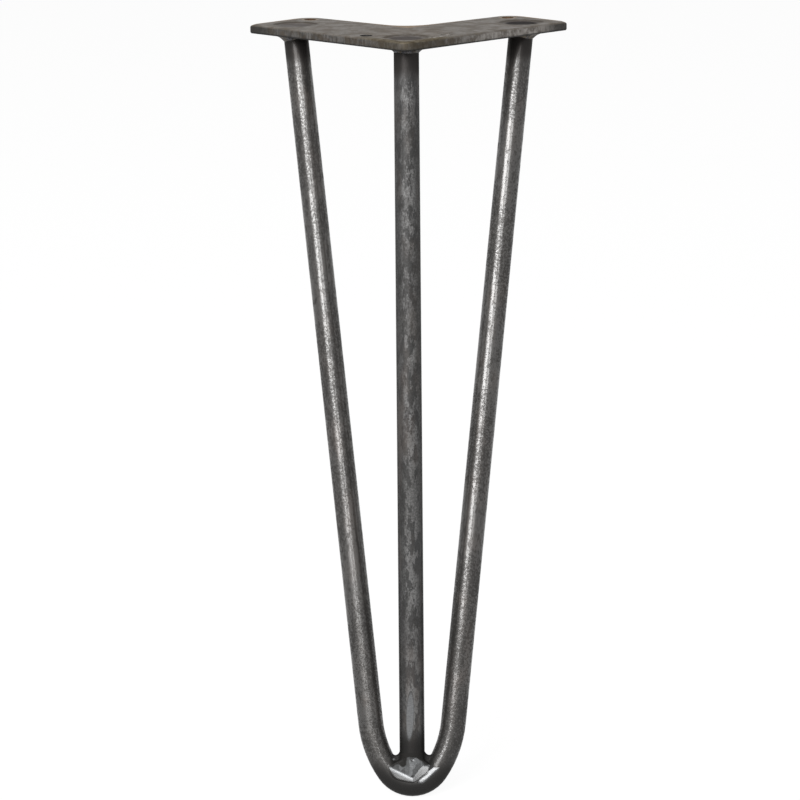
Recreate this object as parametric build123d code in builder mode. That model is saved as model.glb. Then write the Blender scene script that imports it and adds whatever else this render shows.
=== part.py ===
"""Three-rod hairpin table leg: an L-shaped plate, a bent hairpin rod, a straight middle rod and their welds.

Frame: millimetres, +Z up. The origin lies on the plate's top face, straight above the middle rod's root.
The plate's corner points to -Y, its arms run back to left and right, and X = 0 is the plane of symmetry.
"""
import os
from math import asin, atan2, cos, degrees, hypot, radians, sin, sqrt, tan

from build123d import *

os.makedirs("parts", exist_ok=True)

# Whole leg
leg_height = 356.0
rod_diameter = 12.0
rake_angle = 10.0

# Mounting plate
plate_thickness = 4.0
arm_length = 110.0
arm_width = 40.0
apex_radius = 6.0
end_radius = 1.0
inner_radius = 11.0
rim_chamfer = 0.5
hole_diameter = 6.0
hole_edge_distance = 7.0
end_hole_distance = 8.0
corner_hole_distance = 34.0

# Rod positions on the plate, from its outer edges and from the end of an arm
rod_edge_distance = 15.0
rod_end_distance = 17.0

# Bend at the foot: a tight tip between two gentle flanks
tip_inner_radius = 7.5
tip_angle = 55.0
flank_inner_radius = 44.0

# Plate welds: how far a bead reaches out under the plate and runs down the rod,
# and how much more it reaches on a side rod's outer side
bead_reach = 4.4
bead_run = 2.9
bead_shift = 2.2

# Foot weld: a collar round the middle rod's end, ground flat at front and back
# Each height is along the middle rod, from the middle of the bend, and each reach is from the rod's surface
collar_height = 15.5
collar_lip = 0.3
throat_height = 12.9
throat_reach = 1.6
shoulder_height = 11.5
shoulder_reach = 4.5
belly_height = 7.5
belly_reach = 6.0
heel_height = 4.0
heel_reach = 3.6
ground_margin = 0.2
cope_land = 3.0

# Worked-out positions
rod_radius = rod_diameter / 2
rod_drop = leg_height - rod_radius - plate_thickness
foot_reach = rod_drop * tan(radians(rake_angle))
rod_spacing = arm_length - rod_edge_distance - rod_end_distance
side_offset = rod_spacing / sqrt(2)
foot_axis = Vector(0, -foot_reach, rod_radius - leg_height)
middle_root = Vector(0, 0, -plate_thickness)
side_root = Vector(side_offset, side_offset, -plate_thickness)
underside = Plane.XY.offset(-plate_thickness)

# Plate: local X runs along the right arm and local Y along the left arm, from the middle rod's root
plate_plane = Plane(origin=middle_root, x_dir=(1, 1, 0), z_dir=(0, 0, 1))
outer = -rod_edge_distance
inner = outer + arm_width
tip = outer + arm_length
end_hole = (tip - end_hole_distance, inner - hole_edge_distance)
corner_hole = (outer + corner_hole_distance, outer + hole_edge_distance)

with BuildPart() as mounting_plate:
    with BuildSketch(plate_plane):
        with Locations((outer, outer)):
            Rectangle(arm_length, arm_width, align=Align.MIN)
            Rectangle(arm_width, arm_length, align=Align.MIN)
        fillet(vertices().sort_by_distance((inner, inner))[0], inner_radius)
        fillet(vertices().sort_by_distance((outer, outer))[0], apex_radius)
        arm_corners = ((tip, outer), (tip, inner), (outer, tip), (inner, tip))
        fillet([vertices().sort_by_distance(corner)[0] for corner in arm_corners], end_radius)
    extrude(amount=plate_thickness)
    chamfer(faces().sort_by(Axis.Z)[-1].edges() + faces().sort_by(Axis.Z)[0].edges(), rim_chamfer)
    with Locations(plate_plane):
        with Locations(*[p for x, y in (end_hole, corner_hole) for p in ((x, y), (y, x))]):
            Hole(hole_diameter / 2)
mounting_plate.part.label = "mounting_plate"

# Hairpin: drawn flat in the leaning plane through the foot and the roots of both side rods
hairpin_rise = Vector(0, side_offset + foot_reach, rod_drop)
hairpin_plane = Plane(origin=foot_axis, x_dir=(1, 0, 0), z_dir=(0, -hairpin_rise.Z, hairpin_rise.Y))
tip_radius = tip_inner_radius + rod_radius
flank_radius = flank_inner_radius + rod_radius

# The side rod is the tangent from its root to the flank's arc, and leaves the vertical by side_angle
flank_shift = flank_radius - tip_radius
root_across = side_offset + flank_shift * sin(radians(tip_angle))
root_above = hairpin_rise.length - tip_radius - flank_shift * cos(radians(tip_angle))
root_distance = hypot(root_across, root_above)
side_angle = degrees(atan2(root_across, root_above) - asin(flank_radius / root_distance))
side_length = sqrt(root_distance**2 - flank_radius**2)

with BuildPart() as hairpin_rod:
    with BuildLine(hairpin_plane) as hairpin_path:
        bend_tip = JernArc((0, 0), (1, 0), tip_radius, tip_angle)
        bend_flank = JernArc(bend_tip @ 1, bend_tip % 1, flank_radius, 90 - tip_angle - side_angle)
        side_run = PolarLine(bend_flank @ 1, side_length + rod_diameter, direction=bend_flank % 1)
        mirror(about=Plane.YZ)
    with BuildSketch(Plane(hairpin_path.wire() ^ 0)):
        Circle(rod_radius)
    sweep(path=hairpin_path.wire())
    split(bisect_by=underside, keep=Keep.BOTTOM)
hairpin_rod.part.label = "hairpin_rod"

# Middle rod: its end is coped over the inside of the bend
middle_drop = foot_axis - middle_root
middle_plane = Plane(origin=middle_root, x_dir=(1, 0, 0), z_dir=middle_drop)

with BuildPart() as middle_rod:
    with BuildSketch(middle_plane.offset(-rod_diameter)):
        Circle(rod_radius)
    extrude(amount=rod_diameter + middle_drop.length - cope_land)
    split(bisect_by=underside, keep=Keep.BOTTOM)
    add(hairpin_rod.part, mode=Mode.SUBTRACT)
middle_rod.part.label = "middle_rod"


def plate_bead(rod, root, shift=0.0):
    """Bead of weld metal round a rod's root: a flat cone, with its point inside the rod."""
    base_radius = rod_radius + bead_reach
    point_depth = base_radius * bead_run / bead_reach
    with BuildPart() as bead:
        with Locations(root + Vector(shift, 0, 0)):
            Cone(0, base_radius, point_depth, align=(Align.CENTER, Align.CENTER, Align.MAX))
        add(rod.part, mode=Mode.SUBTRACT)
    return bead


middle_plate_weld = plate_bead(middle_rod, middle_root)
middle_plate_weld.part.label = "middle_plate_weld"

right_plate_weld = plate_bead(hairpin_rod, side_root, bead_shift)
right_plate_weld.part.label = "right_plate_weld"

with BuildPart() as left_plate_weld:
    mirror(right_plate_weld.part, about=Plane.YZ)
left_plate_weld.part.label = "left_plate_weld"

# Foot weld: turned about the middle rod's axis, then ground back to just proud of the rods
collar_plane = Plane(foot_axis, x_dir=(1, 0, 0), z_dir=Vector(1, 0, 0).cross(-middle_drop))

with BuildPart() as foot_weld:
    with BuildSketch(collar_plane):
        with BuildLine():
            Polyline(
                (0, collar_height),
                (rod_radius + collar_lip, collar_height),
                (rod_radius + throat_reach, throat_height),
                (rod_radius + shoulder_reach, shoulder_height),
                (rod_radius + belly_reach, belly_height),
                (rod_radius + heel_reach, heel_height),
                (0, heel_height),
                close=True,
            )
        make_face()
    revolve(axis=Axis(foot_axis, -middle_drop))
    for side in (1, -1):
        ground = collar_plane.offset(side * (rod_radius + ground_margin))
        split(bisect_by=ground, keep=Keep.BOTTOM if side > 0 else Keep.TOP)
    add([hairpin_rod.part, middle_rod.part], mode=Mode.SUBTRACT)
foot_weld.part.label = "foot_weld"

plate_welds = (left_plate_weld, right_plate_weld, middle_plate_weld)
for piece in (mounting_plate, hairpin_rod, middle_rod, *plate_welds, foot_weld):
    export_step(piece.part, f"parts/{piece.part.label}.step")
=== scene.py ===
# %% [markdown]
# A three-rod hairpin table leg in raw steel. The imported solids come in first, as a fixed frame: the flat screw
# plate, the bent rod with its U-shaped foot, the straight middle rod and the weld metal that joins them.
# Everything below dresses that frame. Lengths are in metres.

# %% Load the frame
from math import atan2, cos, hypot, pi, radians, sin, sqrt, tan
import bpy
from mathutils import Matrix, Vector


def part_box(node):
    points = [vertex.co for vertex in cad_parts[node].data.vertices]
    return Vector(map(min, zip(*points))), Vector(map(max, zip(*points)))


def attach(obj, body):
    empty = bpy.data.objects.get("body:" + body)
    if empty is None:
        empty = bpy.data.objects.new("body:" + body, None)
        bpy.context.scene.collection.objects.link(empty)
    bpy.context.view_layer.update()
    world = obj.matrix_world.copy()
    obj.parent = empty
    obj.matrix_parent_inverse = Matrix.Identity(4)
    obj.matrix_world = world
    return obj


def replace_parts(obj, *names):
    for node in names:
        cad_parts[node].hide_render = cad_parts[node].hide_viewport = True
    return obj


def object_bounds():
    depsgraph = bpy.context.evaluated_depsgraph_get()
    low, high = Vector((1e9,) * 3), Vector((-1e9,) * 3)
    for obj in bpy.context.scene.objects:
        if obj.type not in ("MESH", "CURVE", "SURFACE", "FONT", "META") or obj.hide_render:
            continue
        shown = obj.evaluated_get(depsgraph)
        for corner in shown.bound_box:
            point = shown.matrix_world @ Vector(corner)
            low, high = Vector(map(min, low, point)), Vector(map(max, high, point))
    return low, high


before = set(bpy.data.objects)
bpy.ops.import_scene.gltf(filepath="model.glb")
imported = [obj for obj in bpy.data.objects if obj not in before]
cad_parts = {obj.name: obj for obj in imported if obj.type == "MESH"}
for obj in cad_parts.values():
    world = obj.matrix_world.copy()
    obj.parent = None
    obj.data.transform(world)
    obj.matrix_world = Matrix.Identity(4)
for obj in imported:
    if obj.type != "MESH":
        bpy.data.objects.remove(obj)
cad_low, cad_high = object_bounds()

from types import SimpleNamespace

import bmesh
import bpy
from mathutils import Matrix, Vector, noise

MM = 0.001
scene = bpy.context.scene
scene.view_settings.view_transform = "Standard"
print("solids:", sorted(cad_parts), "height", round(cad_high.z - cad_low.z, 4))

# %% [markdown]
# The camera stands 1.55 m away with a long lens, a little above the plate, so that the plate's top just shows.
# It could be aimed with a Track To constraint, but three plain turns say exactly how it is held: a pitch down,
# a slight yaw and a slight roll.

# %% Camera
CAMERA_DISTANCE = 1.5498
CAMERA_PITCH = radians(13.538)
CAMERA_YAW = radians(-1.319)
CAMERA_ROLL = radians(-0.719)
CAMERA_AIM = Vector((-0.00505, 0, -0.17588))
SENSOR_WIDTH_MM = 36
LENS_MM = 144

camera_data = bpy.data.cameras.new("camera")
camera_data.sensor_width = SENSOR_WIDTH_MM
camera_data.lens = LENS_MM
camera = bpy.data.objects.new("camera", camera_data)
scene.collection.objects.link(camera)
scene.camera = camera

camera_turn = (
    Matrix.Rotation(-CAMERA_YAW, 4, "Z")
    @ Matrix.Rotation(pi / 2 - CAMERA_PITCH, 4, "X")
    @ Matrix.Rotation(CAMERA_ROLL, 4, "Z")
)
look = camera_turn @ Vector((0, 0, -1))
camera.matrix_world = Matrix.Translation(CAMERA_AIM - look * CAMERA_DISTANCE) @ camera_turn
print("camera at", camera.matrix_world.translation)

# %% [markdown]
# Every finish below is a small tree of shader nodes. One helper adds a node and feeds its inputs, and a few more
# name the steps that come back: sums, a soft step between two levels, noise by the size of its blotches, a mix of
# two colours. Written out in full, the trees would be far longer.


# %% Helpers for nodes
def feed(tree, node, feeds):
    """Feeds a node's inputs: a socket is linked, a plain value is set."""
    for key, given in feeds.items():
        if isinstance(given, bpy.types.NodeSocket):
            tree.links.new(given, node.inputs[key])
        else:
            node.inputs[key].default_value = given


def put(tree, kind, feeds, **options):
    """Adds a shader node, sets its options and feeds its inputs."""
    made = tree.nodes.new("ShaderNode" + kind)
    for option, value in options.items():
        setattr(made, option, value)
    feed(tree, made, feeds)
    return made


def calc(tree, operation, a, b=0.0):
    return put(tree, "Math", {0: a, 1: b}, operation=operation).outputs[0]


def plus(tree, a, b):
    return calc(tree, "ADD", a, b)


def minus(tree, a, b):
    return calc(tree, "SUBTRACT", a, b)


def times(tree, a, b):
    return calc(tree, "MULTIPLY", a, b)


def most(tree, a, b):
    return calc(tree, "MAXIMUM", a, b)


def least(tree, a, b):
    return calc(tree, "MINIMUM", a, b)


def step(tree, value, low, high, to_low=0.0, to_high=1.0):
    """Goes softly from to_low to to_high while value goes from low to high."""
    feeds = {"Value": value, "From Min": low, "From Max": high, "To Min": to_low, "To Max": to_high}
    return put(tree, "MapRange", feeds, interpolation_type="SMOOTHSTEP").outputs["Result"]


def blotches(tree, place, size, detail=3.0, roughness=0.55):
    """Noise around 0.5, with blotches about size across."""
    feeds = {"Vector": place, "Scale": 1 / size, "Detail": detail, "Roughness": roughness}
    return put(tree, "TexNoise", feeds).outputs["Fac"]


def marked(tree, name):
    """A number stored on the piece's points."""
    return put(tree, "Attribute", {}, attribute_name=name).outputs["Fac"]


def mix(tree, share, a, b):
    return put(tree, "Mix", {0: share, 6: a, 7: b}, data_type="RGBA").outputs[2]


print("helpers for nodes ready")

# %% [markdown]
# Every piece's steel starts alike. Real scale is a thin dark oxide, neither plain metal nor paint, so the shader is
# set between the two. Grazing reflections are held down, because scale doesn't turn to a mirror as clean steel does.

# %% Plain steel
METAL_SHARE = 0.65
BUMP_STRENGTH = 0.8


def grey(level, warmth=0.0):
    """A grey; warmth lifts its red and lowers its blue by that share."""
    return (level * (1 + warmth), level, level * (1 - warmth), 1)


EDGE_TINT = grey(0.6)


def new_steel(name):
    """A steel material, with its tree, its shader and the object coordinates."""
    material = bpy.data.materials.new(name)
    material.use_nodes = True
    tree = material.node_tree
    metal = tree.nodes["Principled BSDF"]
    feed(tree, metal, {"Metallic": METAL_SHARE, "Specular IOR Level": 0.0, "Specular Tint": EDGE_TINT})
    place = tree.nodes.new("ShaderNodeTexCoord").outputs["Object"]
    return material, tree, metal, place


def emboss(tree, metal, height):
    """Tilts the surface by a height in millimetres, and returns the tilted normal."""
    tilted = put(tree, "Bump", {"Height": height, "Distance": MM, "Strength": BUMP_STRENGTH}).outputs[0]
    feed(tree, metal, {"Normal": tilted})
    return tilted


print("metal share", METAL_SHARE)

# %% [markdown]
# A studio sweep is paper under and behind the object. Here a wide floor does that work, because the camera looks
# down far enough for it to fill the picture. For the camera and for reflections it is mixed with a plain white, so
# the background is white while the leg's soft shadow stays.

# %% Floor
FLOOR_SIZE = 40.0
FLOOR_COLOUR = grey(0.9)
FLOOR_ROUGHNESS = 0.9
FLOOR_SHINE = 0.1
FLOOR_WHITE_SHARE = 0.93


def background_rays(tree):
    """A socket that is 1 for the rays that see the white background."""
    path = tree.nodes.new("ShaderNodeLightPath")
    seen = most(tree, path.outputs["Is Camera Ray"], path.outputs["Is Glossy Ray"])
    return most(tree, seen, path.outputs["Is Transmission Ray"])


def floor_paper():
    material = bpy.data.materials.new("floor_paper")
    material.use_nodes = True
    tree = material.node_tree
    paper = tree.nodes["Principled BSDF"]
    feed(tree, paper, {"Base Color": FLOOR_COLOUR, "Roughness": FLOOR_ROUGHNESS, "Specular IOR Level": FLOOR_SHINE})
    white = tree.nodes.new("ShaderNodeEmission")
    share = times(tree, background_rays(tree), FLOOR_WHITE_SHARE)
    both = put(tree, "MixShader", {0: share, 1: paper.outputs[0], 2: white.outputs[0]})
    feed(tree, tree.nodes["Material Output"], {"Surface": both.outputs[0]})
    return material


def new_object(name, bm, material):
    """Makes an object of a finished bmesh, with smooth shading."""
    mesh = bpy.data.meshes.new(name)
    bm.to_mesh(mesh)
    bm.free()
    mesh.shade_smooth()
    mesh.materials.append(material)
    piece = bpy.data.objects.new(name, mesh)
    scene.collection.objects.link(piece)
    return piece


sheet = bmesh.new()
bmesh.ops.create_grid(sheet, x_segments=1, y_segments=1, size=FLOOR_SIZE / 2)
bmesh.ops.translate(sheet, verts=sheet.verts, vec=(0, 0, cad_low.z))
floor = new_object("floor", sheet, floor_paper())
print("floor at", round(cad_low.z, 4))

# %% [markdown]
# Round bar shows its light as a streak. A broad soft box, high above the camera and to the left, draws it down the
# two leaning rods and passes over the steeper middle rod, which stays dull. A smaller, weaker one adds the thin
# second line, a weak one lights the rear, and the rest of the light is an even dome.

# %% Light
SOFT_BOX_DISTANCE = 3.0
SOFT_BOX_HEIGHT = 1.6
MAIN_BOX = {"radiance": 18.5, "width": 1.4, "azimuth": radians(-23.3), "elevation": radians(33.5)}
SECOND_BOX = {"radiance": 10.5, "width": 0.7, "azimuth": radians(7), "elevation": radians(34.5)}
REAR_BOX = {"radiance": 2.5, "width": 1.6, "azimuth": radians(190), "elevation": radians(58)}
DOME_STRENGTH = 0.45


def soft_box(name, radiance, width, azimuth, elevation):
    light = bpy.data.lights.new(name, "AREA")
    light.shape = "RECTANGLE"
    light.size = width
    light.size_y = SOFT_BOX_HEIGHT
    light.energy = pi * width * SOFT_BOX_HEIGHT * radiance
    lamp = bpy.data.objects.new(name, light)
    scene.collection.objects.link(lamp)
    turn = Matrix.Rotation(azimuth, 4, "Z") @ Matrix.Rotation(pi / 2 - elevation, 4, "X")
    centre = (cad_low + cad_high) / 2
    lamp.matrix_world = Matrix.Translation(centre) @ turn @ Matrix.Translation((0, 0, SOFT_BOX_DISTANCE))


def dome():
    world = bpy.data.worlds.new("studio")
    scene.world = world
    world.use_nodes = True
    tree = world.node_tree
    level = put(tree, "MapRange", {"Value": background_rays(tree), "To Min": DOME_STRENGTH, "To Max": 1.0})
    feed(tree, tree.nodes["Background"], {"Color": grey(1.0), "Strength": level.outputs["Result"]})


soft_box("main_box", **MAIN_BOX)
soft_box("second_box", **SECOND_BOX)
soft_box("rear_box", **REAR_BOX)
dome()
print("soft boxes and dome")

# %% [markdown]
# The finishes and the weld pieces follow the rods, so the rods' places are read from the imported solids: their
# radius, where each one meets the plate, the middle of the bend at the foot, and which way they lean.

# %% Places of the rods
SIDE_SPREAD = radians(6.0)

plate_low, plate_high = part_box("mounting_plate")
plate_under = plate_low.z
middle_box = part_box("middle_rod")
rod_radius = (middle_box[1].x - middle_box[0].x) / 2
weld_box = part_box("right_plate_weld")
side_offset = (weld_box[0].y + weld_box[1].y) / 2
middle_root = Vector((0, 0, plate_under))
left_root = Vector((-side_offset, side_offset, plate_under))
right_root = Vector((side_offset, side_offset, plate_under))
bend_middle = Vector((0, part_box("hairpin_rod")[0].y + rod_radius, cad_low.z + rod_radius))

middle_up = (middle_root - bend_middle).normalized()
bend_up = (Vector((0, side_offset, plate_under)) - bend_middle).normalized()
bend_front = Vector((1, 0, 0)).cross(bend_up)
middle_lean = (0.0, middle_up.y / middle_up.z)
side_lean = (tan(SIDE_SPREAD) / bend_up.z, bend_up.y / bend_up.z)
print("rod radius", round(rod_radius, 5), "side rods at", round(side_offset, 5))

# %% [markdown]
# Hot-rolled bar leaves the mill under a thin dark skin of scale, with blotches drawn out along the bar. A UV map
# could carry that, but the rods are straight for most of their length, so it is enough to shear the object
# coordinates along a leaning rod and to squeeze them lengthwise. The left rod gets another stretch of the noise.

# %% Rod finish: coordinates
SIDE_STRETCH = 0.5
MIDDLE_STRETCH = 0.36
LEFT_ROD_SHIFT = 3.7


def along_rod(tree, place, lean):
    """Coordinates that run along the rods, and the plain x and z."""
    x, y, z = put(tree, "SeparateXYZ", {0: place}).outputs
    if lean[0]:
        across = minus(tree, calc(tree, "ABSOLUTE", x), times(tree, z, lean[0]))
        shift = times(tree, calc(tree, "SIGN", x), LEFT_ROD_SHIFT)
        length = plus(tree, times(tree, z, SIDE_STRETCH), shift)
    else:
        across = x
        length = times(tree, z, MIDDLE_STRETCH)
    depth = minus(tree, y, times(tree, z, lean[1]))
    return put(tree, "CombineXYZ", {0: across, 1: depth, 2: length}).outputs[0], x, z


print("side rods lean", side_lean)

# %% [markdown]
# The skin has duller patches, small specks that break the light, and larger bites out of its gloss. The right rod is
# rubbed low down, and the middle rod's pale patches are held to a band along its front, a painted sheen where the
# light falls on it. Near the plate the steel is darkened by the heat of welding and by painted shade under the
# plate.
# At the foot it is darkened by the heat and soot of the weld and by painted shade, as if the low steel mirrored a
# dark floor. Bare and sooty spots are stored on the pieces' points. Each kind of mark is worked out once, for
# colour, gloss and relief to share.

# %% Rod finish: marks
PATCH_SIZE = 3.0 * MM
SPECK_SIZE = 0.9 * MM
BITE_SIZE = 2.4 * MM
WORN_SIZE = 16 * MM
RUBBED_SIDE = 5 * MM
RUBBED_RANGE = (-0.2, -0.28)
SHEEN_BAND_MIDDLE = 0.5 * MM
SHEEN_BAND_RANGE = (4.2 * MM, 1.8 * MM)
SCORCH_AND_SHADE_RANGE = (plate_under - 18 * MM, plate_under - 9 * MM)
SCORCH_AND_SHADE_MOST = 0.85
GROUND_FROM = 0.12


def rod_marks(tree, place, lean, patch_share, foot_soot_and_shade):
    """Where the skin is patchy, speckled, dark with scorch, soot and painted shade, or ground off: a socket each."""
    rolled, x, z = along_rod(tree, place, lean)
    patches = step(tree, blotches(tree, rolled, PATCH_SIZE, 8, 0.72), 0.56 - patch_share, 0.6 - patch_share)
    worn = step(tree, blotches(tree, rolled, WORN_SIZE, 2), 0.4, 0.62, 0.1, 0.0)
    speck_noise = plus(tree, blotches(tree, place, SPECK_SIZE, 4, 0.65), worn)
    if lean[0]:
        rubbed = step(tree, z, *RUBBED_RANGE, 0.0, 0.05)
        speck_noise = plus(tree, speck_noise, times(tree, step(tree, x, 0.0, RUBBED_SIDE), rubbed))
    else:
        # The middle rod's pale patches are held to a band on its front: a painted sheen where the light falls.
        off_sheen_band = calc(tree, "ABSOLUTE", minus(tree, x, SHEEN_BAND_MIDDLE))
        patches = times(tree, patches, step(tree, off_sheen_band, *SHEEN_BAND_RANGE, 0.3, 1.0))
    bites = step(tree, blotches(tree, rolled, BITE_SIZE, 4, 0.6), 0.57, 0.62, 0.0, 0.8)
    specks = most(tree, step(tree, speck_noise, 0.53, 0.63), bites)

    # Just under the plate the rods darken: weld scorch together with painted shade of the plate.
    scorch_and_plate_shade = step(tree, z, *SCORCH_AND_SHADE_RANGE, 0.0, SCORCH_AND_SHADE_MOST)
    sooty = marked(tree, "sooty")
    # Low down the steel darkens: weld soot together with painted shade, as if it mirrored a dark floor.
    foot = most(tree, step(tree, z, cad_low.z + foot_soot_and_shade[0], cad_low.z + foot_soot_and_shade[1]), sooty)
    heat_and_shade = most(tree, scorch_and_plate_shade, foot)
    bare = marked(tree, "bare")
    ground = step(tree, bare, 0.0, GROUND_FROM)
    skin = minus(tree, 1.0, ground)
    clear_of_heat_and_shade = times(tree, minus(tree, 1.0, heat_and_shade), skin)
    return SimpleNamespace(
        rolled=rolled, patches=times(tree, patches, clear_of_heat_and_shade), specks=times(tree, specks, clear_of_heat_and_shade), scorch_and_plate_shade=scorch_and_plate_shade,
        sooty=sooty, foot=foot, heat_and_shade=heat_and_shade, bare=bare, ground=ground, skin=skin,
    )


print("scorch ends at", round(SCORCH_AND_SHADE_RANGE[0], 4))

# %% [markdown]
# The colour starts with the skin and its patches, takes a breath of brown and darker clouds, then specks, scorch
# with painted shade under the plate, and soot with painted shade low at the foot. Bare steel comes last, with the
# fine strokes of the grinder across it.

# %% Rod finish: colour
BROWN_SIZE = 8 * MM
BROWN_SCALE = (0.056, 0.048, 0.043, 1)
CLOUD_SIZE = 24 * MM
CLOUD_SCALE = grey(0.034, 0.03)
SPECK_COLOUR = grey(0.022, 0.05)
SPECK_SHARE = 0.5
SCORCHED_AND_SHADED_SCALE = (0.02, 0.018, 0.017, 1)
SOOT_AND_LOW_SHADE = grey(0.015, 0.03)
SOOT_AND_LOW_SHADE_SHARE = 0.88
STROKE_SIZE = 0.45 * MM
STROKE_STRETCH = (0.12, 1, 1)
BARE_DARK = grey(0.14, -0.03)
BARE_LIGHT = grey(0.185, -0.02)


def rod_colour(tree, place, marks, skin_colour, patch_colour):
    brown = step(tree, blotches(tree, marks.rolled, BROWN_SIZE, 3), 0.45, 0.7, 0.0, 0.6)
    clouds = step(tree, blotches(tree, place, CLOUD_SIZE, 2), 0.35, 0.65, 0.0, 0.35)
    colour = mix(tree, marks.patches, skin_colour, patch_colour)
    colour = mix(tree, brown, colour, BROWN_SCALE)
    colour = mix(tree, clouds, colour, CLOUD_SCALE)
    colour = mix(tree, times(tree, marks.specks, SPECK_SHARE), colour, SPECK_COLOUR)
    colour = mix(tree, marks.scorch_and_plate_shade, colour, SCORCHED_AND_SHADED_SCALE)
    colour = mix(tree, times(tree, marks.foot, SOOT_AND_LOW_SHADE_SHARE), colour, SOOT_AND_LOW_SHADE)
    drawn_out = put(tree, "Mapping", {"Vector": place, "Scale": STROKE_STRETCH}).outputs[0]
    strokes = step(tree, blotches(tree, drawn_out, STROKE_SIZE, 3, 0.6), 0.38, 0.62)
    return mix(tree, marks.bare, colour, mix(tree, strokes, BARE_DARK, BARE_LIGHT))


print("bare steel reflects", BARE_LIGHT[1])

# %% [markdown]
# Two layers make the gloss, as on real scale: a soft sheen from the oxide, and a thin glossy film over it, which
# draws the bright streak. One roughness between the two would lose either the streak or its halo. Specks, heat
# and soot cut the film, and so do the painted shades under the plate and low at the foot. A little relief makes
# the streak uneven.

# %% Rod finish: gloss and relief
ROD_ROUGHNESS = 0.42
GROUND_POLISH = 0.18
SOOT_ROUGHNESS = 0.35
SOOT_EDGE_TINT = grey(0.15)
FILM_ROUGHNESS = 0.195
FILM_IN_SPECKS = 0.2
FILM_IN_HEAT_AND_SHADE = 0.12
FILM_IN_SOOT = 0.2
WAVE_SIZE = 2.6 * MM
WAVE_HEIGHT = 0.05
GRAIN_SIZE = 0.5 * MM
GRAIN_HEIGHT = 0.008
SPECK_DEPTH = 0.004


def rod_gloss(tree, metal, marks, patch_dull, gloss):
    dull = plus(tree, times(tree, marks.patches, patch_dull), ROD_ROUGHNESS)
    dull = minus(tree, dull, times(tree, marks.ground, GROUND_POLISH))
    dull = plus(tree, dull, times(tree, times(tree, marks.sooty, marks.skin), SOOT_ROUGHNESS))
    film = step(tree, marks.specks, 0, 1, gloss, FILM_IN_SPECKS)
    film = times(tree, film, step(tree, marks.heat_and_shade, 0, SCORCH_AND_SHADE_MOST, 1.0, FILM_IN_HEAT_AND_SHADE))
    film = times(tree, film, step(tree, marks.sooty, 0, 1, 1.0, FILM_IN_SOOT))
    film = times(tree, film, marks.skin)
    edge_tint = mix(tree, marks.sooty, EDGE_TINT, SOOT_EDGE_TINT)
    feed(tree, metal, {"Roughness": dull, "Specular Tint": edge_tint})
    feed(tree, metal, {"Coat Weight": film, "Coat Roughness": FILM_ROUGHNESS})


def rod_relief(tree, metal, marks):
    waves = times(tree, blotches(tree, marks.rolled, WAVE_SIZE, 2), WAVE_HEIGHT)
    grain = times(tree, blotches(tree, marks.rolled, GRAIN_SIZE, 2), GRAIN_HEIGHT)
    height = minus(tree, plus(tree, waves, grain), times(tree, marks.specks, SPECK_DEPTH))
    tilted = emboss(tree, metal, times(tree, height, marks.skin))
    feed(tree, metal, {"Coat Normal": tilted})


print("film roughness", FILM_ROUGHNESS, "over", ROD_ROUGHNESS)

# %% [markdown]
# Both rods are the same kind of bar, but the middle one is duller and more patchy, so one recipe is used twice. The
# bent rod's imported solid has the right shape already: it keeps its mesh and only gets this finish.


# %% Rod finish: both rods
def rod_scale(name, lean, skin_colour, patch_colour, patch_dull, patch_share, gloss, foot_soot_and_shade):
    """Rod steel; the dark at the foot, soot and painted shade, ends and is full at two given heights above the
    floor.
    """
    material, tree, metal, place = new_steel(name)
    marks = rod_marks(tree, place, lean, patch_share, foot_soot_and_shade)
    feed(tree, metal, {"Base Color": rod_colour(tree, place, marks, skin_colour, patch_colour)})
    rod_gloss(tree, metal, marks, patch_dull, gloss)
    rod_relief(tree, metal, marks)
    return material


def dress(node, material):
    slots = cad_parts[node].data.materials
    slots.clear()
    slots.append(material)
    print(node, "in", material.name)


bent_scale = rod_scale(
    "bent_rod_scale", side_lean, skin_colour=grey(0.04, 0.05), patch_colour=grey(0.052, 0.05),
    patch_dull=0.05, patch_share=0.06, gloss=1.0, foot_soot_and_shade=(24 * MM, 9 * MM),
)
middle_scale = rod_scale(
    "middle_rod_scale", middle_lean, skin_colour=grey(0.034), patch_colour=grey(0.106, 0.01),
    patch_dull=0.18, patch_share=0.085, gloss=0.3, foot_soot_and_shade=(36 * MM, 25 * MM),
)
dress("hairpin_rod", bent_scale)

# %% [markdown]
# The middle rod is a straight bar with one touch of the grinder low on its front, a flat the shape of a lens. A
# flat can't be painted on a round bar, so the bar is made again: a ring of points is drawn out, cut into thin
# slices where the flat will be, and the points in front of the flat are pressed back to it. Its lower end lies in
# the lump of weld.

# %% Middle rod
BAR_SIDES = 128
BAR_START = 14 * MM
FLAT_MIDDLE = 33.5 * MM
FLAT_HALF = 12.5 * MM
FLAT_DEPTH = 0.34 * MM
FLAT_SLICE = 0.6 * MM
FLAT_TURN_LOW = radians(-12.5)
FLAT_TURN_HIGH = radians(-2.5)
FLAT_SOFT_RIM = 0.14 * MM
FLAT_BARE = 0.66
SHARP_EDGE = radians(50)


def stood(depth, up):
    """Puts upright coordinates at the foot, with y along depth and z along up."""
    return Matrix.Translation(bend_middle) @ Matrix(((1, 0, 0), depth, up)).transposed().to_4x4()


def smooth_step(value, low, high):
    t = min(max((value - low) / (high - low), 0), 1)
    return t * t * (3 - 2 * t)


def whole(bm):
    return bm.verts[:] + bm.edges[:] + bm.faces[:]


def points_of(made):
    """The points among what an operator made."""
    return [element for element in made if isinstance(element, bmesh.types.BMVert)]


def draw_out(bm, vec):
    """Draws all faces out to a solid."""
    drawn = bmesh.ops.extrude_face_region(bm, geom=bm.faces[:])["geom"]
    bmesh.ops.translate(bm, verts=points_of(drawn), vec=vec)


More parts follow.
